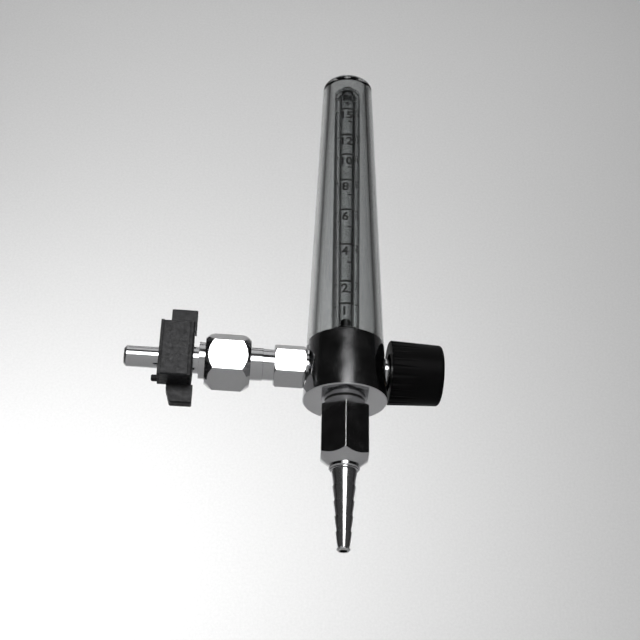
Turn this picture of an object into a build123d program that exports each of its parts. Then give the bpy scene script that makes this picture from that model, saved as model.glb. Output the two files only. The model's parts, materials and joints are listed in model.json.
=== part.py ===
"""Medical gas flowmeter: a float tube and needle valve on a plug-in wall adapter.

Frame: the origin is where the adapter's probe leaves its seating face. X runs along the inlet,
from the wall towards the knob, Z runs up the float tube, and Y runs from the front to the back.
"""

import os
from math import cos, pi, sqrt

from build123d import *

# ---- clearances --------
running_gap = 0.05  # radial gap of a shaft or thread that turns or slides in its hole
thread_gap = 0.10  # radial gap of the two union nuts on their threads
face_gap = 0.10  # gap between faces that turn against each other
fit_gap = 0.02  # radial gap of pieces that are screwed or pressed together for good
groove_gap = 0.1  # gap of an O-ring to each side of its groove
cut_past = 1.0  # how far a cutting outline runs past what it cuts

# ---- wall adapter, lengths along X --------
probe_length = 13.4
probe_radius = 4.1
probe_bore_radius = 1.6
probe_chamfer = 0.9
probe_root_radius = 4.8  # the root that the face plate and the block hold
probe_root_length = 6.0

face_plate_thickness = 1.2
block_length = 10.1
back_plate_thickness = 1.7
block_height = 23.3
block_front = -10.2  # Y of the block's front face
block_shoulder = -1.0  # Y where its back starts to narrow, at 45 degrees
block_back = 7.5
block_corner = 0.5
wing_start = 3.5
wing_length = 10.1
upper_wing_tip = 21.2  # Z of the wings' ends
lower_wing_tip = -19.3
wing_depth = 4.0
wing_corner = 0.5
wing_taper = 1.7  # how much narrower the lower wing's end is
wing_taper_start = 1.8  # below the block

index_pin_radius = 1.3
index_pin_reach = 2.4
index_pin_root = 4.0
index_pin_chamfer = 0.4
index_pin_y = -1.6
index_pin_z = -9.5

screw_radius = 1.3
screw_head_radius = 2.2
screw_head_height = 1.3
screw_length = 8.0
screw_key_flats = 2.08
screw_key_depth = 0.9
screw_y = -6.9
screw_z = 8.3  # above and below the inlet axis

stub_flange_radius = 6.6
stub_flange_length = 3.0
stub_neck_radius = 5.2
stub_neck_length = 2.2  # from the back plate to the collar
stub_collar_radius = 7.2
stub_collar_length = 2.3
stub_thread_radius = 7.14
stub_thread_length = 11.0
stub_mouth_depth = 4.4
stub_gas_radius = 1.8

# ---- inlet nut, nipple and union, lengths along X --------
nut_flats = 20.0
nut_length = 17.4
nut_cone = 3.2  # how far each end's chamfer runs along the nut
nut_end_radius = 9.1
nut_turn = 9.0  # degrees that the flats are turned from square

nipple_flange_radius = 6.9
nipple_flange_length = 2.4
nipple_nose_radius = 4.5
nipple_nose_length = 4.0
nipple_shank_radius = 6.4
nipple_shank_bare = 4.8  # bare shank between the nut and the union's collar
nipple_tail_radius = 4.0
nipple_tail_length = 8.0
nipple_gas_radius = 2.2
nose_ring_section = 1.4
filter_thickness = 2.4
filter_radius = 3.0

union_collar_radius = 6.1
union_collar_length = 4.5
union_flats = 15.0
union_length = 12.0
union_cone = 0.7
union_end_radius = 7.9
union_turn = 8.0
union_neck_length = 1.2
union_neck_radius = 5.4
union_thread_radius = 4.6
union_thread_length = 4.6

# ---- body, places from the tube axis and the inlet axis --------
body_top_radius = 15.3
body_bottom_radius = 16.4
body_top = 10.5
body_bottom = -14.0
body_edge = 0.4
side_flat = 14.7  # from the tube axis to the flats that the union and the bonnet seat on
inlet_flat_radius = 9.0
valve_flat_radius = 6.3
socket_radius = 13.6
socket_depth = 4.0
gallery_inner = 7.2
gallery_outer = 9.9
gallery_depth = 1.1
cavity_radius = 4.0
cavity_floor = -3.2
gas_radius = 2.2
drilling_radius = 1.1
drilling_offset = 0.3  # from the valve chamber's middle towards the tube axis
drilling_overlap = 0.2  # how far the drilling starts above the gallery's floor
outlet_socket_radius = 6.0
outlet_socket_depth = 5.5
outlet_relief_radius = 7.6
outlet_relief_height = 1.2

# ---- float tube --------
tube_top = 141.6
tube_top_radius = 10.8
tube_wall = 3.2
tube_end_wall = 2.4
tube_end_round = 2.2
tube_ring_section = 1.2
tube_ring_width = 1.4  # width of the ring's groove in the socket's floor

meter_radius = 5.6
meter_bottom = 9.6
meter_top = 136.2
meter_bore_bottom = 2.12
meter_bore_top = 2.6
vent_radius = 0.8
vent_below_top = 3.2
seat_flange_radius = 10.4
seat_flange_height = 1.6
seat_cup_radius = 8.0
seat_cup_top = 14.8
seat_cup_edge = 0.5
seat_stem_length = 3.4
seat_gas_radius = 1.3
seat_vent_count = 6
seat_vent_inset = 0.2  # from the gallery's middle towards the tube axis
meter_ring_section = 1.1
meter_ring_from_top = 2.0  # below the cup's rim
rest_radius = 1.9  # the small stand that the float rests on
rest_gas_radius = 0.9
ball_radius = 2.05
ball_rest = 19.2
stop_length = 5.0
stop_radius = 2.0
cushion_radius = 2.9
cushion_gas_radius = 0.7

# ---- valve and knob, lengths along X from the tube axis --------
seat_pocket_start = 5.9
insert_start = 6.6
chamber_start = 9.0
chamber_end = 10.8
chamber_radius = 3.0
insert_radius = 2.2
orifice_radius = 0.9
bonnet_thread_radius = 4.5
bonnet_gasket_thickness = 0.5
bonnet_flange_radius = 5.6
bonnet_flange_length = 1.5
bonnet_neck_radius = 4.2
bonnet_neck_length = 2.2
stem_radius = 1.95
stem_ring_section = 1.3
needle_radius = 1.4
needle_tip_radius = 0.35
needle_cone_length = 3.2
needle_shank_length = 3.0
needle_peg_radius = 0.7
needle_peg_length = 2.2
stem_end = 31.0

knob_start = 17.0
knob_length = 20.4
knob_inner_radius = 12.7
knob_outer_radius = 11.9
knob_edge = 1.3
knob_flutes = 24
knob_flute_radius = 1.2
knob_flute_depth = 0.5
knob_recess_radius = 7.4
knob_recess_depth = 3.4
bush_radius = 4.6
bush_wall_to_cap = 2.0  # knob material between the bush and the cap
cap_radius = 7.6
cap_thickness = 1.2
cap_edge = 0.3
set_screw_radius = 1.5
set_screw_length = 4.0
set_screw_from_start = 9.4
set_screw_key_flats = 1.65
set_screw_key_depth = 1.6

# ---- outlet, lengths along Z --------
outlet_gasket_thickness = 0.5
outlet_flange_radius = 7.8
outlet_flange_length = 1.8
outlet_thread_radius = 7.14
outlet_thread_length = 16.0
outlet_gas_radius = 2.4
outlet_nut_flats = 18.0
outlet_nut_turn = -4.0
outlet_nut_length = 24.0
outlet_nut_top_cone = 0.8
outlet_nut_cone = 3.8
outlet_nut_end_radius = 8.3
outlet_nut_nose = 1.6
outlet_nut_nose_radius = 5.9
outlet_nut_nose_edge = 0.4
hose_flange_radius = 6.9
hose_flange_length = 2.4
hose_shank_radius = 5.3
hose_gas_radius = 1.5
barb_count = 5
barb_pitch = 5.9
barb_first_radius = 4.9
barb_last_radius = 3.1
barb_height = 0.45
barb_land = 0.2
barb_lead = 0.7
hose_tip_radius = 2.6
hose_tip_length = 1.2
hose_tip_chamfer = 0.5

# ---- places worked out from the sizes --------
block_start = face_plate_thickness
block_end = block_start + block_length
back_plate_end = block_end + back_plate_thickness
collar_start = back_plate_end + stub_neck_length
nut_start = collar_start + stub_collar_length + face_gap
stub_end = nut_start - face_gap + stub_thread_length
flange_end = stub_end + nipple_flange_length
nut_wall = flange_end + face_gap
nut_end = nut_start + nut_length
shank_end = nut_end + nipple_shank_bare
union_start = shank_end + union_collar_length
union_end = union_start + union_length
tube_x = union_end + union_neck_length + side_flat

socket_floor = body_top - socket_depth
tube_bottom = socket_floor + fit_gap
seat_flange_top = socket_floor + seat_flange_height
rest_top = ball_rest - sqrt(ball_radius**2 - rest_gas_radius**2) - fit_gap
tube_inner_top = tube_top - tube_end_wall
valve_flat = tube_x + side_flat
bonnet_face = side_flat + bonnet_gasket_thickness
bonnet_end = bonnet_face + bonnet_flange_length + bonnet_neck_length
knob_end = knob_start + knob_length

outlet_face = body_bottom - outlet_gasket_thickness
outlet_thread_top = outlet_face - outlet_flange_length
outlet_thread_bottom = outlet_thread_top - outlet_thread_length
outlet_nut_top = outlet_thread_top - face_gap
outlet_nut_bottom = outlet_nut_top - outlet_nut_length
outlet_nut_tip = outlet_nut_bottom - outlet_nut_nose
hose_flange_bottom = outlet_thread_bottom - hose_flange_length
barb_top = outlet_nut_tip - barb_lead
barb_bottom = barb_top - barb_count * barb_pitch
hose_tip = barb_bottom - hose_tip_length

half_sector = 30  # degrees from a hexagon's corner to the middle of its flat
tube_axis = Axis((tube_x, 0, 0), (0, 0, 1))
tube_plane = Plane(origin=(tube_x, 0, 0), x_dir=(1, 0, 0), z_dir=(0, -1, 0))


def closed_outline(points):
    """Fill a closed outline of straight runs in the open sketch."""
    with BuildLine() as outline:
        Polyline(*points, close=True)
    make_face(outline.edges())


def round_section(place, section):
    """Draw an O-ring's round section in the open sketch."""
    with Locations(place):
        Circle(section / 2)


def hexagon(flats, turn):
    """Draw a hexagon, a flat facing the sketch's own x before it is turned."""
    RegularPolygon(flats / 2, 6, major_radius=False, rotation=half_sector + turn)


def coned_ends(start, end, flats, first_cone, last_cone, first_radius, last_radius):
    """Half section, along an axis, that cuts a hexagon's corners back to a cone at each end."""
    corner = flats / 2 / cos(pi / 6) + fit_gap
    return [
        (start, 0),
        (start, first_radius),
        (start + first_cone, corner),
        (end - last_cone, corner),
        (end, last_radius),
        (end, 0),
    ]


def swapped(points):
    """Turn outline points along an axis, (length, radius), into (radius, length)."""
    return [(radius, length) for length, radius in points]


def write_piece(piece, name):
    """Label a finished piece and write its STEP file."""
    piece.part.label = name
    export_step(piece.part, f"parts/{name}.step")


os.makedirs("parts", exist_ok=True)

# ==== wall adapter ========

with BuildPart() as probe:
    with BuildSketch(Plane.XZ):
        closed_outline(
            [
                (-probe_length, probe_bore_radius),
                (-probe_length, probe_radius - probe_chamfer),
                (-probe_length + probe_chamfer, probe_radius),
                (0, probe_radius),
                (0, probe_root_radius),
                (probe_root_length, probe_root_radius),
                (probe_root_length, probe_bore_radius),
            ]
        )
    revolve(axis=Axis.X)
write_piece(probe, "probe")

screw_points = [(screw_y, -screw_z), (screw_y, screw_z)]
pin_point = (index_pin_y, index_pin_z)
back_half_height = block_height / 2 - (block_back - block_shoulder)


def adapter_outline():
    """Draw the adapter's outline, seen from the wall, in the open sketch."""
    closed_outline(
        [
            (block_front, -block_height / 2),
            (block_shoulder, -block_height / 2),
            (block_back, -back_half_height),
            (block_back, back_half_height),
            (block_shoulder, block_height / 2),
            (block_front, block_height / 2),
        ]
    )


with BuildPart() as adapter_face_plate:
    with BuildSketch(Plane.YZ):
        adapter_outline()
        Circle(probe_root_radius + fit_gap, mode=Mode.SUBTRACT)
        with Locations(pin_point):
            Circle(index_pin_radius + fit_gap, mode=Mode.SUBTRACT)
    extrude(amount=face_plate_thickness)
write_piece(adapter_face_plate, "adapter_face_plate")

stub_seat = block_end - stub_flange_length
wing_end = wing_start + wing_length

with BuildPart() as adapter_block:
    with BuildSketch(Plane.YZ.offset(block_start)):
        adapter_outline()
    extrude(amount=block_length)
    chamfer(adapter_block.edges().filter_by(Axis.X).group_by(Axis.Y)[0], block_corner)
    with BuildSketch(Plane.XZ):
        closed_outline(
            [
                (wing_start, block_height / 2 - 1),
                (wing_start, upper_wing_tip),
                (wing_end, upper_wing_tip),
                (wing_end, block_height / 2),
                (block_end, block_height / 2),
                (block_end, block_height / 2 - 1),
            ]
        )
        closed_outline(
            [
                (wing_start, cut_past - block_height / 2),
                (wing_start, -block_height / 2 - wing_taper_start),
                (wing_start + wing_taper, lower_wing_tip),
                (wing_end, lower_wing_tip),
                (wing_end, -block_height / 2),
                (block_end, -block_height / 2),
                (block_end, cut_past - block_height / 2),
            ]
        )
    extrude(amount=wing_depth / 2, both=True)
    wing_ends = adapter_block.faces().filter_by(Axis.Z).group_by(Axis.Z)
    chamfer(wing_ends[0].edges() + wing_ends[-1].edges(), wing_corner)
    with BuildSketch(Plane.YZ.offset(block_start)):
        Circle(probe_root_radius + fit_gap)
    extrude(amount=probe_root_length - block_start, mode=Mode.SUBTRACT)
    with BuildSketch(Plane.YZ.offset(probe_root_length)):
        Circle(stub_gas_radius)
    extrude(amount=stub_seat - probe_root_length, mode=Mode.SUBTRACT)
    with BuildSketch(Plane.YZ.offset(stub_seat)):
        Circle(stub_flange_radius + fit_gap)
    extrude(amount=stub_flange_length, mode=Mode.SUBTRACT)
    with BuildSketch(Plane.YZ.offset(block_start)):
        with Locations(pin_point):
            Circle(index_pin_radius + fit_gap)
    extrude(amount=index_pin_root - block_start, mode=Mode.SUBTRACT)
    with BuildSketch(Plane.YZ.offset(block_end)):
        with Locations(*screw_points):
            Circle(screw_radius + fit_gap)
    extrude(amount=-(screw_length - back_plate_thickness + screw_head_height), mode=Mode.SUBTRACT)
write_piece(adapter_block, "adapter_block")

with BuildPart() as adapter_back_plate:
    with BuildSketch(Plane.YZ.offset(block_end)):
        adapter_outline()
        Circle(stub_neck_radius + fit_gap, mode=Mode.SUBTRACT)
        with Locations(*screw_points):
            Circle(screw_radius + fit_gap, mode=Mode.SUBTRACT)
    extrude(amount=back_plate_thickness)
    chamfer(adapter_back_plate.faces().sort_by(Axis.X)[-1].outer_wire().edges(), block_corner)
    with BuildSketch(Plane.YZ.offset(back_plate_end)):
        with Locations(*screw_points):
            Circle(screw_head_radius + fit_gap)
    extrude(amount=-screw_head_height, mode=Mode.SUBTRACT)
write_piece(adapter_back_plate, "adapter_back_plate")

with BuildPart() as adapter_screws:
    with BuildSketch(Plane.YZ.offset(back_plate_end)):
        with Locations(*screw_points):
            Circle(screw_head_radius)
    extrude(amount=-screw_head_height)
    with BuildSketch(Plane.YZ.offset(back_plate_end - screw_head_height)):
        with Locations(*screw_points):
            Circle(screw_radius)
    extrude(amount=-screw_length)
    with BuildSketch(Plane.YZ.offset(back_plate_end)):
        with Locations(*screw_points):
            RegularPolygon(screw_key_flats / 2, 6, major_radius=False)
    extrude(amount=-screw_key_depth, mode=Mode.SUBTRACT)
write_piece(adapter_screws, "adapter_screws")

with BuildPart() as index_pin:
    with BuildSketch(Plane.YZ.offset(index_pin_root)):
        with Locations(pin_point):
            Circle(index_pin_radius)
    extrude(amount=-(index_pin_root + index_pin_reach))
    chamfer(index_pin.faces().group_by(Axis.X)[0].edges(), index_pin_chamfer)
write_piece(index_pin, "index_pin")

stub_mouth = stub_end - stub_mouth_depth

with BuildPart() as adapter_stub:
    with BuildSketch(Plane.XZ):
        closed_outline(
            [
                (stub_seat, stub_gas_radius),
                (stub_seat, stub_flange_radius),
                (block_end, stub_flange_radius),
                (block_end, stub_neck_radius),
                (collar_start, stub_neck_radius),
                (collar_start, stub_collar_radius),
                (nut_start - face_gap, stub_collar_radius),
                (nut_start - face_gap, stub_thread_radius),
                (stub_end, stub_thread_radius),
                (stub_end, nipple_nose_radius + fit_gap),
                (stub_mouth, nipple_nose_radius + fit_gap),
                (stub_mouth, stub_gas_radius),
            ]
        )
    revolve(axis=Axis.X)
write_piece(adapter_stub, "adapter_stub")

# ==== inlet nut, nipple and union ========

with BuildPart() as inlet_nut:
    with BuildSketch(Plane.YZ.offset(nut_start)):
        hexagon(nut_flats, nut_turn)
    extrude(amount=nut_length)
    with BuildSketch(Plane.XZ):
        closed_outline(
            coned_ends(nut_start, nut_end, nut_flats, nut_cone, nut_cone, nut_end_radius, nut_end_radius)
        )
    revolve(axis=Axis.X, mode=Mode.INTERSECT)
    with BuildSketch(Plane.XZ):
        closed_outline(
            [
                (nut_start - cut_past, 0),
                (nut_start - cut_past, stub_thread_radius + thread_gap),
                (nut_wall, stub_thread_radius + thread_gap),
                (nut_wall, nipple_shank_radius + running_gap),
                (nut_end + cut_past, nipple_shank_radius + running_gap),
                (nut_end + cut_past, 0),
            ]
        )
    revolve(axis=Axis.X, mode=Mode.SUBTRACT)
write_piece(inlet_nut, "inlet_nut")

nose_start = stub_end - nipple_nose_length
nose_ring_place = stub_end - nipple_nose_length / 2
nose_ring_floor = nipple_nose_radius + fit_gap - nose_ring_section
nose_groove_half = nose_ring_section / 2 + groove_gap
tail_end = shank_end + nipple_tail_length

with BuildPart() as inlet_nipple:
    with BuildSketch(Plane.XZ):
        closed_outline(
            [
                (nose_start, nipple_gas_radius),
                (nose_start, nipple_nose_radius),
                (nose_ring_place - nose_groove_half, nipple_nose_radius),
                (nose_ring_place - nose_groove_half, nose_ring_floor),
                (nose_ring_place + nose_groove_half, nose_ring_floor),
                (nose_ring_place + nose_groove_half, nipple_nose_radius),
                (stub_end, nipple_nose_radius),
                (stub_end, nipple_flange_radius),
                (flange_end, nipple_flange_radius),
                (flange_end, nipple_shank_radius),
                (shank_end, nipple_shank_radius),
                (shank_end, nipple_tail_radius),
                (tail_end, nipple_tail_radius),
                (tail_end, filter_radius),
                (tail_end - filter_thickness, filter_radius),
                (tail_end - filter_thickness, nipple_gas_radius),
            ]
        )
    revolve(axis=Axis.X)
write_piece(inlet_nipple, "inlet_nipple")

with BuildPart() as nipple_o_ring:
    with BuildSketch(Plane.XZ):
        round_section((nose_ring_place, nose_ring_floor + nose_ring_section / 2), nose_ring_section)
    revolve(axis=Axis.X)
write_piece(nipple_o_ring, "nipple_o_ring")

with BuildPart() as inlet_filter:
    with BuildSketch(Plane.YZ.offset(tail_end - filter_thickness)):
        Circle(filter_radius - fit_gap)
    extrude(amount=filter_thickness)
write_piece(inlet_filter, "inlet_filter")

union_seat = tube_x - side_flat
union_thread_end = union_seat + union_thread_length

with BuildPart() as inlet_union:
    with BuildSketch(Plane.YZ.offset(union_start)):
        hexagon(union_flats, union_turn)
    extrude(amount=union_length)
    with BuildSketch(Plane.XZ):
        closed_outline(
            coned_ends(
                union_start,
                union_end,
                union_flats,
                union_cone,
                union_cone,
                union_end_radius,
                union_end_radius,
            )
        )
    revolve(axis=Axis.X, mode=Mode.INTERSECT)
    with BuildSketch(Plane.XZ):
        closed_outline(
            [
                (shank_end, 0),
                (shank_end, union_collar_radius),
                (union_start + cut_past, union_collar_radius),
                (union_start + cut_past, union_neck_radius),
                (union_seat, union_neck_radius),
                (union_seat, union_thread_radius),
                (union_thread_end, union_thread_radius),
                (union_thread_end, 0),
            ]
        )
    revolve(axis=Axis.X)
    with BuildSketch(Plane.XZ):
        closed_outline(
            [
                (shank_end - cut_past, 0),
                (shank_end - cut_past, nipple_tail_radius + fit_gap),
                (tail_end + fit_gap, nipple_tail_radius + fit_gap),
                (tail_end + fit_gap, gas_radius),
                (union_thread_end + cut_past, gas_radius),
                (union_thread_end + cut_past, 0),
            ]
        )
    revolve(axis=Axis.X, mode=Mode.SUBTRACT)
write_piece(inlet_union, "inlet_union")

# ==== body ========

union_pocket_end = tube_x - side_flat + union_thread_length + fit_gap
drilling_to_chamber_x = (chamber_start + chamber_end) / 2 - drilling_offset
gallery_floor = socket_floor - gallery_depth
outlet_socket_top = body_bottom + outlet_socket_depth
tube_ring_radius = (socket_radius + body_top_radius - tube_wall) / 2
tube_groove_floor = tube_bottom - tube_ring_section

with BuildPart() as flowmeter_body:
    with BuildSketch(tube_plane):
        closed_outline(
            [
                (0, body_bottom),
                (body_bottom_radius - body_edge, body_bottom),
                (body_bottom_radius, body_bottom + body_edge),
                (body_top_radius, body_top),
                (0, body_top),
            ]
        )
    revolve(axis=tube_axis)
    with BuildSketch(tube_plane):
        closed_outline(
            [
                (0, body_top + 1),
                (socket_radius, body_top + 1),
                (socket_radius, socket_floor),
                (tube_ring_radius + tube_ring_width / 2, socket_floor),
                (tube_ring_radius + tube_ring_width / 2, tube_groove_floor),
                (tube_ring_radius - tube_ring_width / 2, tube_groove_floor),
                (tube_ring_radius - tube_ring_width / 2, socket_floor),
                (gallery_outer, socket_floor),
                (gallery_outer, gallery_floor),
                (gallery_inner, gallery_floor),
                (gallery_inner, socket_floor),
                (cavity_radius, socket_floor),
                (cavity_radius, cavity_floor),
                (0, cavity_floor),
            ]
        )
    revolve(axis=tube_axis, mode=Mode.SUBTRACT)
    with BuildSketch(tube_plane):
        closed_outline(
            [
                (0, body_bottom - 1),
                (outlet_socket_radius, body_bottom - 1),
                (outlet_socket_radius, outlet_socket_top - outlet_relief_height),
                (outlet_relief_radius, outlet_socket_top - outlet_relief_height),
                (outlet_relief_radius, outlet_socket_top),
                (0, outlet_socket_top),
            ]
        )
    revolve(axis=tube_axis, mode=Mode.SUBTRACT)
    # the flats on the two sides, and the inlet's pocket and gas way
    with BuildSketch(Plane.XZ):
        closed_outline(
            [
                (tube_x - body_bottom_radius - cut_past, 0),
                (tube_x - body_bottom_radius - cut_past, inlet_flat_radius),
                (union_seat, inlet_flat_radius),
                (union_seat, union_thread_radius + fit_gap),
                (union_pocket_end, union_thread_radius + fit_gap),
                (union_pocket_end, gas_radius),
                (tube_x, gas_radius),
                (tube_x, 0),
            ]
        )
    revolve(axis=Axis.X, mode=Mode.SUBTRACT)
    # the valve's pocket: seat insert, chamber and bonnet thread
    with BuildSketch(tube_plane):
        closed_outline(
            [
                (seat_pocket_start, 0),
                (seat_pocket_start, insert_radius + fit_gap),
                (chamber_start, insert_radius + fit_gap),
                (chamber_start, chamber_radius),
                (chamber_end, chamber_radius),
                (chamber_end, bonnet_thread_radius + fit_gap),
                (side_flat, bonnet_thread_radius + fit_gap),
                (side_flat, valve_flat_radius),
                (body_bottom_radius + cut_past, valve_flat_radius),
                (body_bottom_radius + cut_past, 0),
            ]
        )
    revolve(axis=Axis.X, mode=Mode.SUBTRACT)
    # gas comes down from the gallery into the chamber, and goes on from the seat to the outlet
    with BuildSketch(Plane.XY.offset(gallery_floor + drilling_overlap)):
        with Locations((tube_x + drilling_to_chamber_x, 0)):
            Circle(drilling_radius)
    extrude(amount=-(gallery_floor + drilling_overlap), mode=Mode.SUBTRACT)
    with BuildSketch(Plane.XY):
        with Locations((tube_x + seat_pocket_start, 0)):
            Circle(drilling_radius)
    extrude(amount=outlet_socket_top - outlet_relief_height / 2, mode=Mode.SUBTRACT)
write_piece(flowmeter_body, "flowmeter_body")

# ==== float tube ========

tube_slope = (body_top_radius - tube_top_radius) / (tube_top - body_top)
bore_bottom_radius = body_top_radius - tube_wall
bore_top_radius = tube_top_radius + tube_slope * tube_end_wall - tube_wall

with BuildPart() as outer_tube:
    with BuildSketch(tube_plane):
        closed_outline(
            [
                (bore_bottom_radius, tube_bottom),
                (socket_radius - fit_gap, tube_bottom),
                (socket_radius - fit_gap, body_top),
                (body_top_radius, body_top),
                (tube_top_radius, tube_top),
                (0, tube_top),
                (0, tube_inner_top),
                (bore_top_radius, tube_inner_top),
            ]
        )
    revolve(axis=tube_axis)
    tube_top_edge = outer_tube.faces().sort_by(Axis.Z)[-1].edges()
    fillet(tube_top_edge, tube_end_round)
write_piece(outer_tube, "outer_tube")

with BuildPart() as outer_tube_o_ring:
    with BuildSketch(tube_plane):
        round_section((tube_ring_radius, tube_bottom - tube_ring_section / 2), tube_ring_section)
    revolve(axis=tube_axis)
write_piece(outer_tube_o_ring, "outer_tube_o_ring")

meter_ring_place = seat_cup_top - meter_ring_from_top
meter_ring_floor = meter_radius
meter_ring_outer = meter_radius + meter_ring_section

with BuildPart() as tube_seat:
    with BuildSketch(tube_plane):
        closed_outline(
            [
                (seat_gas_radius, socket_floor - seat_stem_length),
                (cavity_radius - fit_gap, socket_floor - seat_stem_length),
                (cavity_radius - fit_gap, socket_floor),
                (seat_flange_radius, socket_floor),
                (seat_flange_radius, seat_flange_top),
                (seat_cup_radius, seat_flange_top + seat_flange_radius - seat_cup_radius),
                (seat_cup_radius, seat_cup_top - seat_cup_edge),
                (seat_cup_radius - seat_cup_edge, seat_cup_top),
                (meter_radius + fit_gap, seat_cup_top),
                (meter_radius + fit_gap, meter_ring_place + meter_ring_section / 2 + groove_gap),
                (meter_ring_outer, meter_ring_place + meter_ring_section / 2 + groove_gap),
                (meter_ring_outer, meter_ring_place - meter_ring_section / 2 - groove_gap),
                (meter_radius + fit_gap, meter_ring_place - meter_ring_section / 2 - groove_gap),
                (meter_radius + fit_gap, meter_bottom - fit_gap),
                (seat_gas_radius, meter_bottom - fit_gap),
            ]
        )
    revolve(axis=tube_axis)
    vent_circle = (gallery_inner + gallery_outer) / 2 - seat_vent_inset
    with BuildSketch(Plane(origin=(tube_x, 0, socket_floor))):
        with PolarLocations(vent_circle, seat_vent_count):
            Circle(drilling_radius)
    extrude(amount=seat_flange_height + seat_flange_radius - seat_cup_radius, mode=Mode.SUBTRACT)
write_piece(tube_seat, "tube_seat")

with BuildPart() as meter_tube_o_ring:
    with BuildSketch(tube_plane):
        round_section((meter_ring_floor + meter_ring_section / 2, meter_ring_place), meter_ring_section)
    revolve(axis=tube_axis)
write_piece(meter_tube_o_ring, "meter_tube_o_ring")

with BuildPart() as metering_tube:
    with BuildSketch(tube_plane):
        closed_outline(
            [
                (meter_bore_bottom, meter_bottom),
                (meter_radius, meter_bottom),
                (meter_radius, meter_top),
                (meter_bore_top, meter_top),
            ]
        )
    revolve(axis=tube_axis)
    with BuildSketch(Plane(origin=(tube_x, 0, meter_top - vent_below_top), z_dir=(1, 0, 0))):
        Circle(vent_radius)
    extrude(amount=meter_radius + cut_past, both=True, mode=Mode.SUBTRACT)
write_piece(metering_tube, "metering_tube")

with BuildPart() as float_rest:
    with BuildSketch(tube_plane):
        closed_outline(
            [
                (rest_gas_radius, meter_bottom),
                (rest_radius, meter_bottom),
                (rest_radius, rest_top),
                (rest_gas_radius, rest_top),
            ]
        )
    revolve(axis=tube_axis)
write_piece(float_rest, "float_rest")

with BuildPart() as float_ball:
    with BuildSketch(tube_plane):
        with BuildLine():
            ball_low = (0, ball_rest - ball_radius)
            ball_high = (0, ball_rest + ball_radius)
            ThreePointArc(ball_low, (ball_radius, ball_rest), ball_high)
            Line(ball_high, ball_low)
        make_face()
    revolve(axis=tube_axis)
write_piece(float_ball, "float_ball")

with BuildPart() as tube_cushion:
    with BuildSketch(tube_plane):
        closed_outline(
            [
                (cushion_gas_radius, meter_top),
                (cushion_radius, meter_top),
                (cushion_radius, tube_inner_top),
                (cushion_gas_radius, tube_inner_top),
            ]
        )
    revolve(axis=tube_axis)
write_piece(tube_cushion, "tube_cushion")

with BuildPart() as float_stop:
    with BuildSketch(Plane(origin=(tube_x, 0, meter_top - stop_length))):
        Circle(stop_radius)
    extrude(amount=stop_length)
    with BuildSketch(Plane(origin=(tube_x, 0, meter_top - vent_below_top), z_dir=(1, 0, 0))):
        Circle(vent_radius)
    extrude(amount=meter_radius, both=True, mode=Mode.SUBTRACT)
    with BuildSketch(Plane(origin=(tube_x, 0, meter_top - stop_length))):
        Circle(cushion_gas_radius)
    extrude(amount=stop_length, mode=Mode.SUBTRACT)
write_piece(float_stop, "float_stop")

# ==== valve ========

with BuildPart() as valve_seat:
    with BuildSketch(tube_plane):
        closed_outline(
            [
                (insert_start, orifice_radius),
                (insert_start, insert_radius),
                (chamber_start, insert_radius),
                (chamber_start, orifice_radius),
            ]
        )
    revolve(axis=Axis.X)
write_piece(valve_seat, "valve_seat")

# closed, the needle's cone stands a hair off the edge of the orifice
cone_rate = (needle_radius - needle_tip_radius) / needle_cone_length
needle_tip = chamber_start - (orifice_radius - 2 * fit_gap - needle_tip_radius) / cone_rate
cone_end = needle_tip + needle_cone_length
needle_end = cone_end + needle_shank_length
stem_start = needle_end + face_gap

with BuildPart() as valve_needle:
    with BuildSketch(tube_plane):
        closed_outline(
            [
                (needle_tip, 0),
                (needle_tip, needle_tip_radius),
                (cone_end, needle_radius),
                (needle_end, needle_radius),
                (needle_end, needle_peg_radius),
                (needle_end + needle_peg_length, needle_peg_radius),
                (needle_end + needle_peg_length, 0),
            ]
        )
    revolve(axis=Axis.X)
write_piece(valve_needle, "valve_needle")

peg_hole_end = stem_start + needle_peg_length + face_gap

with BuildPart() as valve_stem:
    with BuildSketch(tube_plane):
        closed_outline(
            [
                (stem_start, needle_peg_radius + running_gap),
                (stem_start, stem_radius),
                (stem_end, stem_radius),
                (stem_end, 0),
                (peg_hole_end, 0),
                (peg_hole_end, needle_peg_radius + running_gap),
            ]
        )
    revolve(axis=Axis.X)
write_piece(valve_stem, "valve_stem")

stem_bore = stem_radius + running_gap
stem_ring_place = bonnet_face + bonnet_flange_length + bonnet_neck_length / 2
stem_ring_outer = stem_bore + stem_ring_section
stem_groove_half = stem_ring_section / 2 + groove_gap / 2

with BuildPart() as valve_bonnet:
    with BuildSketch(tube_plane):
        closed_outline(
            [
                (chamber_end + face_gap, stem_bore),
                (chamber_end + face_gap, bonnet_thread_radius),
                (bonnet_face, bonnet_thread_radius),
                (bonnet_face, bonnet_flange_radius),
                (bonnet_face + bonnet_flange_length, bonnet_flange_radius),
                (bonnet_face + bonnet_flange_length, bonnet_neck_radius),
                (bonnet_end, bonnet_neck_radius),
                (bonnet_end, stem_bore),
                (stem_ring_place + stem_groove_half, stem_bore),
                (stem_ring_place + stem_groove_half, stem_ring_outer),
                (stem_ring_place - stem_groove_half, stem_ring_outer),
                (stem_ring_place - stem_groove_half, stem_bore),
            ]
        )
    revolve(axis=Axis.X)
write_piece(valve_bonnet, "valve_bonnet")

with BuildPart() as bonnet_gasket:
    with BuildSketch(Plane.YZ.offset(valve_flat)):
        Circle(bonnet_flange_radius)
        Circle(bonnet_thread_radius + fit_gap, mode=Mode.SUBTRACT)
    extrude(amount=bonnet_gasket_thickness)
write_piece(bonnet_gasket, "bonnet_gasket")

with BuildPart() as stem_o_ring:
    with BuildSketch(tube_plane):
        round_section((stem_ring_place, stem_bore + stem_ring_section / 2), stem_ring_section)
    revolve(axis=Axis.X)
write_piece(stem_o_ring, "stem_o_ring")

# ==== knob ========

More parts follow.
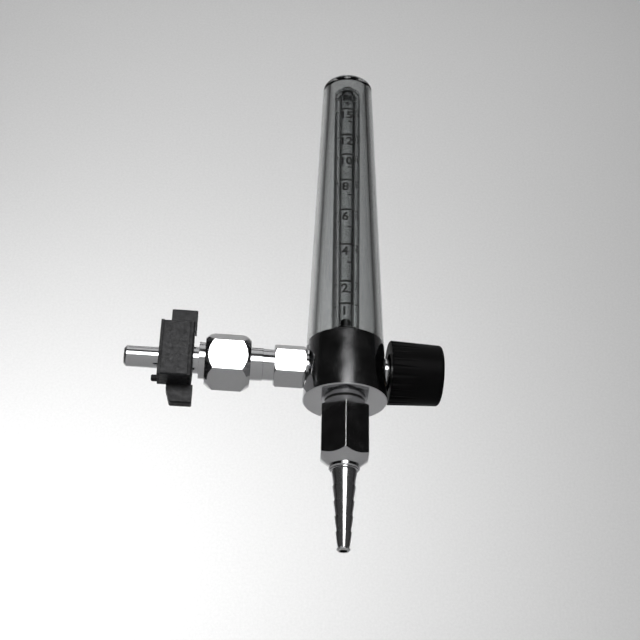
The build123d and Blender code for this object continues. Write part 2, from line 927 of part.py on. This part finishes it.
cap_start = knob_end - cap_thickness
bush_start = knob_start + knob_recess_depth
bush_end = cap_start - bush_wall_to_cap
set_screw_x = knob_start + set_screw_from_start
set_screw_plane = Plane(origin=(tube_x + set_screw_x, 0, 0), x_dir=(1, 0, 0), z_dir=(0, 1, 0))

with BuildPart() as control_knob:
    with BuildSketch(tube_plane):
        closed_outline(
            [
                (knob_start, knob_recess_radius),
                (knob_start, knob_inner_radius),
                (knob_end, knob_outer_radius),
                (knob_end, cap_radius + fit_gap),
                (cap_start, cap_radius + fit_gap),
                (cap_start, 0),
                (bush_end, 0),
                (bush_end, bush_radius + fit_gap),
                (bush_start, bush_radius + fit_gap),
                (bush_start, knob_recess_radius),
            ]
        )
    revolve(axis=Axis.X)
    knob_ends = control_knob.faces().filter_by(Axis.X).group_by(Axis.X)
    fillet(knob_ends[-1].edges().group_by(SortBy.RADIUS)[-1], knob_edge)
    chamfer(knob_ends[0].edges().group_by(SortBy.RADIUS)[-1], knob_edge / 3)
    flute_start = Plane.YZ.offset(tube_x + knob_start - 1)
    flute_end = Plane.YZ.offset(tube_x + knob_end + 1)
    flute_tilt = (knob_outer_radius - knob_inner_radius) / knob_length
    flute_first = knob_inner_radius - flute_tilt + knob_flute_radius - knob_flute_depth
    flute_last = knob_outer_radius + flute_tilt + knob_flute_radius - knob_flute_depth
    with BuildSketch(flute_start):
        with PolarLocations(flute_first, knob_flutes):
            Circle(knob_flute_radius)
    extrude(amount=knob_length + 2, mode=Mode.SUBTRACT)
    with BuildSketch(set_screw_plane):
        Circle(set_screw_radius + fit_gap)
    extrude(amount=knob_inner_radius + cut_past, mode=Mode.SUBTRACT)
write_piece(control_knob, "control_knob")

bush_bore = stem_radius + fit_gap
set_screw_inner = stem_radius + 2 * fit_gap

with BuildPart() as knob_bush:
    with BuildSketch(Plane.YZ.offset(tube_x + bush_start)):
        Circle(bush_radius)
    extrude(amount=bush_end - bush_start)
    with BuildSketch(Plane.YZ.offset(tube_x + bush_start)):
        Circle(bush_bore)
    extrude(amount=stem_end - bush_start + fit_gap, mode=Mode.SUBTRACT)
    with BuildSketch(set_screw_plane):
        Circle(set_screw_radius + fit_gap)
    extrude(amount=bush_radius + cut_past, mode=Mode.SUBTRACT)
write_piece(knob_bush, "knob_bush")

with BuildPart() as knob_set_screw:
    with BuildSketch(set_screw_plane.offset(set_screw_inner)):
        Circle(set_screw_radius)
    extrude(amount=set_screw_length)
    with BuildSketch(set_screw_plane.offset(set_screw_inner + set_screw_length)):
        RegularPolygon(set_screw_key_flats / 2, 6, major_radius=False)
    extrude(amount=-set_screw_key_depth, mode=Mode.SUBTRACT)
write_piece(knob_set_screw, "knob_set_screw")

with BuildPart() as knob_cap:
    with BuildSketch(Plane.YZ.offset(tube_x + cap_start)):
        Circle(cap_radius)
    extrude(amount=cap_thickness)
    chamfer(knob_cap.edges().group_by(Axis.X)[-1], cap_edge)
write_piece(knob_cap, "knob_cap")

# ==== outlet ========

with BuildPart() as outlet_gasket:
    with BuildSketch(Plane(origin=(tube_x, 0, outlet_face))):
        Circle(outlet_flange_radius)
        Circle(outlet_socket_radius + fit_gap, mode=Mode.SUBTRACT)
    extrude(amount=outlet_gasket_thickness)
write_piece(outlet_gasket, "outlet_gasket")

plug_top = outlet_socket_top - outlet_relief_height

with BuildPart() as outlet_fitting:
    with BuildSketch(tube_plane):
        closed_outline(
            [
                (outlet_gas_radius, plug_top),
                (outlet_socket_radius - fit_gap, plug_top),
                (outlet_socket_radius - fit_gap, outlet_face),
                (outlet_flange_radius, outlet_face),
                (outlet_flange_radius, outlet_thread_top),
                (outlet_thread_radius, outlet_thread_top),
                (outlet_thread_radius, outlet_thread_bottom),
                (outlet_gas_radius, outlet_thread_bottom),
            ]
        )
    revolve(axis=tube_axis)
write_piece(outlet_fitting, "outlet_fitting")

with BuildPart() as hose_washer:
    with BuildSketch(Plane(origin=(tube_x, 0, outlet_thread_bottom))):
        Circle(hose_flange_radius)
        Circle(outlet_gas_radius, mode=Mode.SUBTRACT)
    extrude(amount=-outlet_gasket_thickness)
write_piece(hose_washer, "hose_washer")

outlet_nut_shoulder = hose_flange_bottom - outlet_gasket_thickness - face_gap

with BuildPart() as outlet_nut:
    with BuildSketch(Plane(origin=(tube_x, 0, outlet_nut_bottom))):
        hexagon(outlet_nut_flats, outlet_nut_turn)
    extrude(amount=outlet_nut_length)
    with BuildSketch(tube_plane):
        closed_outline(
            swapped(
                coned_ends(
                    outlet_nut_bottom,
                    outlet_nut_top,
                    outlet_nut_flats,
                    outlet_nut_cone,
                    outlet_nut_top_cone,
                    outlet_nut_nose_radius,
                    outlet_nut_end_radius,
                )
            )
        )
    revolve(axis=tube_axis, mode=Mode.INTERSECT)
    with BuildSketch(tube_plane):
        closed_outline(
            [
                (0, outlet_nut_tip),
                (outlet_nut_nose_radius - outlet_nut_nose_edge, outlet_nut_tip),
                (outlet_nut_nose_radius, outlet_nut_tip + outlet_nut_nose_edge),
                (outlet_nut_nose_radius, outlet_nut_bottom + cut_past),
                (0, outlet_nut_bottom + cut_past),
            ]
        )
    revolve(axis=tube_axis)
    with BuildSketch(tube_plane):
        closed_outline(
            [
                (0, outlet_nut_top + cut_past),
                (outlet_thread_radius + thread_gap, outlet_nut_top + cut_past),
                (outlet_thread_radius + thread_gap, outlet_nut_shoulder),
                (hose_shank_radius + running_gap, outlet_nut_shoulder),
                (hose_shank_radius + running_gap, outlet_nut_tip - cut_past),
                (0, outlet_nut_tip - cut_past),
            ]
        )
    revolve(axis=tube_axis, mode=Mode.SUBTRACT)
write_piece(outlet_nut, "outlet_nut")

barb_step = (barb_first_radius - barb_last_radius) / (barb_count - 1)
hose_flange_top = outlet_thread_bottom - outlet_gasket_thickness
hose_outline = [
    (hose_gas_radius, hose_flange_top),
    (hose_flange_radius, hose_flange_top),
    (hose_flange_radius, hose_flange_bottom - outlet_gasket_thickness),
    (hose_shank_radius, hose_flange_bottom - outlet_gasket_thickness),
    (hose_shank_radius, outlet_nut_tip - barb_lead / 2),
    (barb_first_radius - barb_height, barb_top),
]
for barb in range(barb_count):
    barb_z = barb_top - barb * barb_pitch
    barb_radius = barb_first_radius - barb * barb_step
    barb_foot = barb_radius - barb_height - barb_step
    hose_outline.append((barb_radius, barb_z - barb_land))
    hose_outline.append((barb_foot, barb_z - barb_pitch))
hose_outline.append((hose_tip_radius, hose_tip + hose_tip_chamfer))
hose_outline.append((hose_tip_radius - hose_tip_chamfer, hose_tip))
hose_outline.append((hose_gas_radius, hose_tip))

with BuildPart() as hose_nipple:
    with BuildSketch(tube_plane):
        closed_outline(hose_outline)
    revolve(axis=tube_axis)
write_piece(hose_nipple, "hose_nipple")
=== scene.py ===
"""Looks of a gas flowmeter on a wall adapter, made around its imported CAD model.

Lengths are in metres, in the model's own frame: X along the inlet, Y from the front to the back,
Z up the float tube.
"""

import json
from math import cos, radians, sin

import bmesh
import bpy
from mathutils import Matrix, Vector


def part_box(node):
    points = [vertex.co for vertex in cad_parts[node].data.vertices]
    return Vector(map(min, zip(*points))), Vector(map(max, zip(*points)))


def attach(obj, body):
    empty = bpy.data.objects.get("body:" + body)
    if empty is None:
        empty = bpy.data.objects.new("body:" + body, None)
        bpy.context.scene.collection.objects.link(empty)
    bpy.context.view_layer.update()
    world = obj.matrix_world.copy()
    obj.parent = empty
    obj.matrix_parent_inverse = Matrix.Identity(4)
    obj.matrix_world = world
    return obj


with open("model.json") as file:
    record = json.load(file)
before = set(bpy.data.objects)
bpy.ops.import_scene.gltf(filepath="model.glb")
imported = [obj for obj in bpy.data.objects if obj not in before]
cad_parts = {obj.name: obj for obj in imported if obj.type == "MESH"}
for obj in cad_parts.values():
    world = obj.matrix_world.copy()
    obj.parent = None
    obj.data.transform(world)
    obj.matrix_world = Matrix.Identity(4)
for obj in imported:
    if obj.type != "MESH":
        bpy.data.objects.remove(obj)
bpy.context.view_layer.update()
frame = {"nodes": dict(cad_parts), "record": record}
nodes = frame["nodes"]

MM = 0.001

# ---- places taken from the model ------------------------------------------------------------------
tube_low, tube_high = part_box("outer_tube")
meter_low, meter_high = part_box("metering_tube")
tube_x = (tube_low.x + tube_high.x) / 2
inlet_z = 0.0
meter_radius = (meter_high.x - meter_low.x) / 2


# ---- materials -------------------------------------------------------------------------------------
class Look:
    """A Principled material whose nodes are added one call at a time."""

    def __init__(self, name, color, metallic=0.0, roughness=0.3, **sockets):
        self.material = bpy.data.materials.new(name)
        self.material.use_nodes = True
        self.tree = self.material.node_tree
        self.shader = self.tree.nodes["Principled BSDF"]
        self.output = self.tree.nodes["Material Output"]
        self.set("Base Color", (*color, 1.0))
        self.set("Metallic", metallic)
        self.set("Roughness", roughness)
        for socket, value in sockets.items():
            self.set(socket.replace("_", " "), value)
        self.normal = None
        self.place = None

    def set(self, socket, value):
        self.shader.inputs[socket].default_value = value

    def node(self, kind, **inputs):
        made = self.tree.nodes.new(kind)
        for key, value in inputs.items():
            made.inputs[key.replace("_", " ")].default_value = value
        return made

    def link(self, output, target):
        self.tree.links.new(output, target)

    def coordinates(self, stretch=(1.0, 1.0, 1.0)):
        """Object coordinates, stretched; the model is in metres, so one unit here is a millimetre."""
        if self.place is None:
            self.place = self.node("ShaderNodeTexCoord")
        mapping = self.node("ShaderNodeMapping")
        mapping.inputs["Scale"].default_value = [s / MM for s in stretch]
        self.link(self.place.outputs["Object"], mapping.inputs["Vector"])
        return mapping.outputs["Vector"]

    def noise(self, per_mm, detail=4.0, rough=0.55, stretch=(1.0, 1.0, 1.0)):
        """Noise with per_mm features to the millimetre, from 0 to 1."""
        made = self.node("ShaderNodeTexNoise", Scale=per_mm, Detail=detail, Roughness=rough)
        self.link(self.coordinates(stretch), made.inputs["Vector"])
        return made.outputs["Fac"]

    def between(self, factor, low, high, from_low=0.3, from_high=0.7):
        """Map a factor onto the values from low to high."""
        made = self.node("ShaderNodeMapRange")
        made.inputs["From Min"].default_value = from_low
        made.inputs["From Max"].default_value = from_high
        made.inputs["To Min"].default_value = low
        made.inputs["To Max"].default_value = high
        self.link(factor, made.inputs["Value"])
        return made.outputs["Result"]

    def mixed_color(self, factor, first, second):
        made = self.node("ShaderNodeMix")
        made.data_type = "RGBA"
        made.inputs["A"].default_value = (*first, 1.0)
        made.inputs["B"].default_value = (*second, 1.0)
        self.link(factor, made.inputs["Factor"])
        return made.outputs["Result"]

    def vary_roughness(self, factor, low, high, from_low=0.3, from_high=0.7):
        self.link(self.between(factor, low, high, from_low, from_high), self.shader.inputs["Roughness"])

    def vary_color(self, factor, first, second, from_low=0.3, from_high=0.7):
        spread = self.between(factor, 0.0, 1.0, from_low, from_high)
        self.link(self.mixed_color(spread, first, second), self.shader.inputs["Base Color"])

    def bump(self, height, depth_mm, strength=1.0):
        """Add a bump of the given depth in millimetres on top of those already there."""
        made = self.node("ShaderNodeBump")
        made.inputs["Strength"].default_value = strength
        made.inputs["Distance"].default_value = depth_mm * MM
        self.link(height, made.inputs["Height"])
        if self.normal is not None:
            self.link(self.normal, made.inputs["Normal"])
        self.normal = made.outputs["Normal"]
        self.link(self.normal, self.shader.inputs["Normal"])

    def round_edges(self, radius_mm):
        """Catch the light on edges as a small round does."""
        made = self.node("ShaderNodeBevel", Radius=radius_mm * MM)
        made.samples = 4
        self.normal = made.outputs["Normal"]
        self.link(self.normal, self.shader.inputs["Normal"])


def chrome(name, turning=None, wear=0.5, roughness=0.06, edge=0.12, color=(0.58, 0.58, 0.59)):
    """Chrome plate over turned or milled brass; turning is the axis that the turning marks go round."""
    look = Look(name, color, metallic=1.0, roughness=roughness)
    look.round_edges(edge)
    cloud = look.noise(0.18, detail=6.0)
    fine = look.noise(2.2, detail=8.0, rough=0.7)
    smears = look.node("ShaderNodeMath")
    smears.operation = "MULTIPLY"
    look.link(cloud, smears.inputs[0])
    look.link(fine, smears.inputs[1])
    look.vary_roughness(smears.outputs[0], roughness * 0.7, roughness * (1.6 + wear), 0.12, 0.45)
    look.vary_color(fine, [c * 0.82 for c in color], color)
    if turning:
        look.set("Anisotropic", 0.6)
        tangent = look.node("ShaderNodeTangent")
        tangent.direction_type = "RADIAL"
        tangent.axis = turning
        look.link(tangent.outputs["Tangent"], look.shader.inputs["Tangent"])
        stretch = {"X": (6.0, 0.02, 0.02), "Z": (0.02, 0.02, 6.0)}[turning]
        look.bump(look.noise(1.0, detail=3.0, stretch=stretch), 0.004, 0.35)
    scratches = look.noise(0.6, detail=2.0, stretch=(3.0, 0.15, 1.3))
    look.bump(scratches, 0.004, 0.35 * wear)
    look.bump(look.noise(0.30, detail=2.0), 0.03, 0.25 * wear + 0.08)
    return look


def plastic(name, color, roughness, grain_per_mm, grain_depth_mm, spread=0.12, edge=0.15, gloss=0.5):
    """Moulded plastic or rubber with a fine grain and handling marks."""
    look = Look(name, color, roughness=roughness, Specular_IOR_Level=gloss)
    look.round_edges(edge)
    grain = look.noise(grain_per_mm, detail=3.0)
    cloud = look.noise(0.25, detail=5.0)
    look.vary_roughness(cloud, roughness - spread / 2, roughness + spread / 2)
    look.vary_color(cloud, [c * 0.8 for c in color], [c * 1.2 for c in color])
    look.bump(grain, grain_depth_mm, 0.6)
    return look


def turned_steel(name, color, roughness=0.22):
    look = Look(name, color, metallic=1.0, roughness=roughness)
    look.round_edges(0.08)
    look.vary_roughness(look.noise(1.5, detail=5.0), roughness * 0.7, roughness * 1.4)
    look.bump(look.noise(1.0, detail=3.0, stretch=(5.0, 0.3, 5.0)), 0.006, 0.4)
    return look


def clear_plastic(name, tint, roughness=0.03):
    """Clear polycarbonate. Light rays that only cast shadows pass through it."""
    look = Look(name, tint, roughness=roughness, IOR=1.49, Transmission_Weight=1.0)
    look.bump(look.noise(0.12, detail=2.0, stretch=(1.0, 1.0, 0.25)), 0.012, 0.2)
    look.bump(look.noise(1.4, detail=6.0, stretch=(1.6, 1.6, 0.1)), 0.0008, 0.15)
    look.vary_roughness(look.noise(0.5, detail=7.0), roughness * 0.4, roughness * 2.2)
    clear = look.node("ShaderNodeBsdfTransparent")
    clear.inputs["Color"].default_value = (*[0.5 + 0.5 * c for c in tint], 1.0)
    path = look.node("ShaderNodeLightPath")
    mix = look.node("ShaderNodeMixShader")
    look.link(path.outputs["Is Shadow Ray"], mix.inputs["Fac"])
    look.link(look.shader.outputs["BSDF"], mix.inputs[1])
    look.link(clear.outputs["BSDF"], mix.inputs[2])
    look.link(mix.outputs["Shader"], look.output.inputs["Surface"])
    return look


def anodised(name, color, roughness=0.42):
    """Black anodised aluminium, blotched and slightly rubbed, with fine machining marks."""
    look = Look(name, color, metallic=0.2, roughness=roughness, IOR=1.5, Specular_IOR_Level=0.35)
    look.round_edges(0.3)
    cloud = look.noise(0.55, detail=8.0, rough=0.75)
    look.vary_color(cloud, [c * 0.3 for c in color], [c * 2.2 for c in color], 0.35, 0.65)
    look.vary_roughness(look.noise(0.7, detail=7.0, rough=0.7), roughness * 0.7, roughness * 1.4, 0.35, 0.65)
    look.bump(look.noise(0.9, detail=5.0, rough=0.7), 0.05, 0.8)
    look.bump(look.noise(1.0, detail=2.0, stretch=(0.2, 5.0, 5.0)), 0.004, 0.3)
    return look


looks = {
    "chrome_body": chrome("chrome_body", turning="Z", roughness=0.11),
    "chrome": chrome("chrome", turning="X", roughness=0.10),
    "chrome_nut": chrome("chrome_nut", wear=1.2, roughness=0.10, edge=0.35),
    "chrome_barb": chrome("chrome_barb", turning="Z", roughness=0.10),
    "black_block": anodised("black_block", (0.008, 0.008, 0.009)),
    "black_plate": anodised("black_plate", (0.006, 0.006, 0.0065), 0.5),
    "dark_screw": turned_steel("dark_screw", (0.10, 0.10, 0.105), 0.35),
    "steel": turned_steel("steel", (0.62, 0.62, 0.63)),
    "steel_insert": turned_steel("steel_insert", (0.72, 0.72, 0.73), 0.15),
    "brass": turned_steel("brass", (0.72, 0.55, 0.28), 0.25),
    "sintered_bronze": plastic("sintered_bronze", (0.33, 0.23, 0.12), 0.6, 6.0, 0.08),
    "knob": plastic("knob", (0.0030, 0.0030, 0.0032), 0.46, 5.0, 0.012, edge=0.25, gloss=0.035),
    "knob_cap": plastic("knob_cap", (0.008, 0.008, 0.009), 0.34, 4.0, 0.008, gloss=0.3),
    "rubber": plastic("rubber", (0.012, 0.012, 0.012), 0.55, 4.0, 0.012),
    "gasket": plastic("gasket", (0.02, 0.02, 0.02), 0.7, 5.0, 0.02),
    "seat_plastic": plastic("seat_plastic", (0.30, 0.30, 0.30), 0.4, 4.0, 0.006),
    "black_seat": plastic("black_seat", (0.004, 0.004, 0.004), 0.30, 4.0, 0.006),
    "float_ball": turned_steel("float_ball", (0.03, 0.03, 0.03), 0.12),
    "clear_tube": clear_plastic("clear_tube", (0.66, 0.67, 0.67), 0.004),
    "clear_tube_inner": clear_plastic("clear_tube_inner", (0.82, 0.83, 0.83), 0.004),
    "print": plastic("print", (0.008, 0.008, 0.008), 0.6, 6.0, 0.004),
}

slot_of = {part["node"]: part["material_slot"] for part in frame["record"]["subparts"]}
for name, node in nodes.items():
    node.data.materials.clear()
    node.data.materials.append(looks[slot_of[name]].material)


# ---- the printed scale ---------------------------------------------------------------------------------
PRINT_THICK = 0.03 * MM
PRINT_RADIUS = meter_radius + 0.02 * MM
PRINT_STEP = 0.35 * MM  # the longest flat stretch of print round the tube
WELD = 1e-7
LONG_MARK, SHORT_MARK, SIDE_MARK, HALF_MARK = [  # width round the tube and height of each kind of mark
    (6.0 * MM, 0.95 * MM), (1.6 * MM, 0.6 * MM), (1.2 * MM, 0.5 * MM), (3.0 * MM, 0.7 * MM),
]
LONG_MARK_AT, SHORT_MARK_AT, SIDE_MARK_AT, HALF_MARK_AT = -0.3 * MM, 3.9 * MM, -5.0 * MM, 1.2 * MM
SIDE_MARK_DROP = 1.0 * MM
BIG_NUMBER_AT, BIG_NUMBER_DROP, BIG_NUMBER_SIZE = -1.1 * MM, 5.2 * MM, 5.4 * MM
SMALL_NUMBER_AT, SMALL_NUMBER_DROP, SMALL_NUMBER_SIZE = 3.7 * MM, 3.2 * MM, 3.0 * MM
SPINE_AT, SPINE_WIDTH = 2.2 * MM, 0.5 * MM
NUMBER_BOLDNESS = 0.03  # as a share of the number's size
SCALE_MARKS = [  # height above the inlet axis in mm, and the flow there in litres a minute
    (26.2, 1), (36.6, 2), (54.2, 4), (71.3, 6), (86.4, 8), (99.8, 10), (110.4, 12), (124.6, 15),
]


def finish_piece(name, mesh, body, slot):
    """Link a finished mesh as a piece of the object."""
    piece = bpy.data.objects.new(name, mesh)
    bpy.context.scene.collection.objects.link(piece)
    mesh.materials.clear()
    mesh.materials.append(looks[slot].material)
    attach(piece, body)
    return piece


def on_meter(across, height, lift=0.0):
    """A point on the metering tube's front: across is the length round it, to the right."""
    turn = across / PRINT_RADIUS
    radius = PRINT_RADIUS + lift
    return Vector((tube_x + radius * sin(turn), -radius * cos(turn), height))


def add_mark(work, across, height, wide, tall):
    """A printed bar, wide round the tube and tall along it, centred at a place on the tube."""
    steps = max(2, int(wide / PRINT_STEP))
    rows = []
    for step in range(steps + 1):
        place = across - wide / 2 + wide * step / steps
        rows.append([
            work.verts.new(on_meter(place, height + up * tall / 2, lift))
            for up, lift in ((-1, 0), (1, 0), (1, PRINT_THICK), (-1, PRINT_THICK))
        ])
    for left, right in zip(rows, rows[1:]):
        for corner in range(4):
            after = (corner + 1) % 4
            work.faces.new((left[corner], left[after], right[after], right[corner]))
    work.faces.new(rows[0][::-1])
    work.faces.new(rows[-1])


def add_text(work, text, across, height, size):
    """A printed number bent round the tube, its foot at the given height."""
    curve = bpy.data.curves.new("number", "FONT")
    curve.body = text
    curve.size = size
    curve.align_x = "CENTER"
    curve.extrude = 1.0
    curve.offset = NUMBER_BOLDNESS * size
    holder = bpy.data.objects.new("number", curve)
    bpy.context.scene.collection.objects.link(holder)
    bpy.context.view_layer.update()
    mesh = bpy.data.meshes.new_from_object(holder.evaluated_get(bpy.context.evaluated_depsgraph_get()))
    glyphs = bmesh.new()
    glyphs.from_mesh(mesh)
    half_width = max(abs(vertex.co.x) for vertex in glyphs.verts)
    for step in range(1, int(2 * half_width / PRINT_STEP) + 1):
        parts = glyphs.verts[:] + glyphs.edges[:] + glyphs.faces[:]
        cut = (step * PRINT_STEP - half_width, 0.0, 0.0)
        bmesh.ops.bisect_plane(glyphs, geom=parts, plane_co=cut, plane_no=(1.0, 0.0, 0.0))
    for vertex in glyphs.verts:
        lift = PRINT_THICK if vertex.co.z > 0 else 0.0
        vertex.co = on_meter(across + vertex.co.x, height + vertex.co.y, lift)
    glyphs.to_mesh(mesh)
    glyphs.free()
    work.from_mesh(mesh)
    bpy.data.objects.remove(holder)
    bpy.data.curves.remove(curve)
    bpy.data.meshes.remove(mesh)


work = bmesh.new()
for height_mm, flow in SCALE_MARKS:
    height = height_mm * MM
    add_mark(work, LONG_MARK_AT, height, *LONG_MARK)
    add_text(work, str(flow), BIG_NUMBER_AT, height - BIG_NUMBER_DROP, BIG_NUMBER_SIZE)
    add_text(work, str(flow), SMALL_NUMBER_AT, height - SMALL_NUMBER_DROP, SMALL_NUMBER_SIZE)
    add_mark(work, SHORT_MARK_AT, height, *SHORT_MARK)
    add_mark(work, SIDE_MARK_AT, height - SIDE_MARK_DROP, *SIDE_MARK)
for (low, _), (high, _) in zip(SCALE_MARKS, SCALE_MARKS[1:]):
    add_mark(work, HALF_MARK_AT, (low + high) / 2 * MM, *HALF_MARK)
scale_low, scale_high = SCALE_MARKS[0][0] * MM, SCALE_MARKS[-1][0] * MM
add_mark(work, SPINE_AT, (scale_low + scale_high) / 2, SPINE_WIDTH, scale_high - scale_low)
bmesh.ops.remove_doubles(work, verts=work.verts, dist=WELD)
bmesh.ops.recalc_face_normals(work, faces=work.faces)
scale_mesh = bpy.data.meshes.new("printed_scale")
work.to_mesh(scale_mesh)
work.free()
scale = finish_piece("printed_scale", scale_mesh, "meter", "print")


# ---- floor, wall and lights ------------------------------------------------------------------------------
def stage_sheet(name, corners, color, roughness=0.9):
    mesh = bpy.data.meshes.new(name)
    mesh.from_pydata(corners, [], [tuple(range(len(corners)))])
    sheet = bpy.data.objects.new(name, mesh)
    bpy.context.scene.collection.objects.link(sheet)
    look = Look(name, color, roughness=roughness)
    look.shader.inputs["Specular IOR Level"].default_value = 0.1
    paper = look.noise(0.25, detail=8.0, rough=0.75)
    look.vary_color(paper, [c * 0.95 for c in color], [min(1.0, c * 1.05) for c in color])
    mesh.materials.append(look.material)


WALL_Y = 1.3
FLOOR_Z = -0.36
REACH = 40.0
PALE = (0.80, 0.80, 0.80)
stage_sheet(
    "wall",
    [
        (-REACH, WALL_Y, FLOOR_Z), (REACH, WALL_Y, FLOOR_Z),
        (REACH, WALL_Y, REACH), (-REACH, WALL_Y, REACH),
    ],
    PALE,
)
stage_sheet(
    "floor",
    [
        (-REACH, -REACH, FLOOR_Z), (REACH, -REACH, FLOOR_Z),
        (REACH, WALL_Y, FLOOR_Z), (-REACH, WALL_Y, FLOOR_Z),
    ],
    PALE,
)


def towards(azimuth, elevation):
    """The direction to something at an azimuth from the front and an elevation, in degrees."""
    a, e = radians(azimuth), radians(elevation)
    return Vector((sin(a) * cos(e), -cos(a) * cos(e), sin(e)))


def area_light(name, size, power, place, aimed_at, spread):
    """A soft rectangular light at a place, facing a point, its beam kept within the spread in degrees."""
    data = bpy.data.lights.new(name, "AREA")
    data.shape = "RECTANGLE"
    data.size, data.size_y = size
    data.energy = power
    data.spread = radians(spread)
    lamp = bpy.data.objects.new(name, data)
    bpy.context.scene.collection.objects.link(lamp)
    lamp.location = place
    lamp.rotation_euler = (Vector(place) - Vector(aimed_at)).to_track_quat("Z", "Y").to_euler()
    return data


def fade_light(data, sideways, upwards, downwards):
    """Let a light's own surface fade towards its edges, as a softbox's does."""
    data.use_nodes = True
    tree = data.node_tree
    emission = tree.nodes["Emission"]
    place = tree.nodes.new("ShaderNodeNewGeometry")
    split = tree.nodes.new("ShaderNodeSeparateXYZ")
    tree.links.new(place.outputs["Parametric"], split.inputs["Vector"])
    product = None
    edges = (("X", 0.0, sideways), ("X", 1.0, sideways), ("Y", 1.0, upwards), ("Y", 0.0, downwards))
    for axis, edge, share in edges:
        ramp = tree.nodes.new("ShaderNodeMapRange")
        ramp.interpolation_type = "SMOOTHERSTEP"
        ramp.inputs["From Min"].default_value = edge
        ramp.inputs["From Max"].default_value = edge + (share if edge == 0 else -share)
        tree.links.new(split.outputs[axis], ramp.inputs["Value"])
        if product is None:
            product = ramp.outputs["Result"]
        else:
            times = tree.nodes.new("ShaderNodeMath")
            times.operation = "MULTIPLY"
            tree.links.new(product, times.inputs[0])
            tree.links.new(ramp.outputs["Result"], times.inputs[1])
            product = times.outputs[0]
    tree.links.new(product, emission.inputs["Strength"])


target = Vector((tube_x, 0.0, inlet_z))
KEY_AZIMUTH = 1.0
KEY_ELEVATION = 15.0
KEY_DISTANCE = 1.6
key_place = target + towards(KEY_AZIMUTH, KEY_ELEVATION) * KEY_DISTANCE
key = area_light("key", (1.15, 1.2), 9.0, key_place, target, 80)
fade_light(key, sideways=0.28, upwards=0.55, downwards=0.2)
area_light("wall_light", (0.9, 0.5), 4.8, (-0.42, 0.45, 0.02), (-0.02, WALL_Y, 0.6), 110)
area_light("wall_fill", (2.2, 0.4), 4.5, (0.15, 0.45, 1.9), (0.15, WALL_Y, 0.7), 130)
area_light("overhead", (5.0, 3.0), 28.0, (0.0, -1.8, 4.0), (0.0, -2.4, FLOOR_Z), 150)
area_light("far_floor", (8.0, 5.0), 110.0, (0.0, -9.0, 6.0), (0.0, -9.0, FLOOR_Z), 90)

# The room glows a little at the horizon and hardly at all overhead, so the chrome keeps its dark bands.
HORIZON_GLOW = 0.08
ROOM_GLOW = 0.008
DARK_ABOVE = 0.42  # the sine of the elevation where the glow has gone
world = bpy.data.worlds.new("room")
world.use_nodes = True
background = world.node_tree.nodes["Background"]
background.inputs["Color"].default_value = (1.0, 1.0, 1.0, 1.0)
direction = world.node_tree.nodes.new("ShaderNodeTexCoord")
height = world.node_tree.nodes.new("ShaderNodeSeparateXYZ")
horizon = world.node_tree.nodes.new("ShaderNodeMapRange")
horizon.interpolation_type = "SMOOTHSTEP"
horizon.inputs["From Min"].default_value = 0.0
horizon.inputs["From Max"].default_value = DARK_ABOVE
horizon.inputs["To Min"].default_value = HORIZON_GLOW
horizon.inputs["To Max"].default_value = ROOM_GLOW
world.node_tree.links.new(direction.outputs["Generated"], height.inputs["Vector"])
world.node_tree.links.new(height.outputs["Z"], horizon.inputs["Value"])
world.node_tree.links.new(horizon.outputs["Result"], background.inputs["Strength"])
bpy.context.scene.world = world
bpy.context.scene.view_settings.view_transform = "Standard"
bpy.context.scene.view_settings.look = "None"

# ---- camera ----------------------------------------------------------------------------------------
VIEW_AZIMUTH = -5.51
VIEW_ELEVATION = -29.49
VIEW_ROLL = 1.20
VIEW_DISTANCE = 0.4788
VIEW_LENS = 67.5  # in millimetres, on a sensor 36 mm wide
VIEW_AIM = Vector((tube_x - 10.25 * MM, 0.0, inlet_z + 21.65 * MM))

camera_data = bpy.data.cameras.new("camera")
camera_data.lens = VIEW_LENS
camera_data.sensor_width = 36.0
camera_data.clip_start = 0.01
camera = bpy.data.objects.new("camera", camera_data)
bpy.context.scene.collection.objects.link(camera)
back = towards(VIEW_AZIMUTH, VIEW_ELEVATION)
upright = back.to_track_quat("Z", "Y").to_matrix()
camera.matrix_world = Matrix.Translation(VIEW_AIM + back * VIEW_DISTANCE) @ (
    upright @ Matrix.Rotation(radians(VIEW_ROLL), 3, "Z")
).to_4x4()
bpy.context.scene.camera = camera
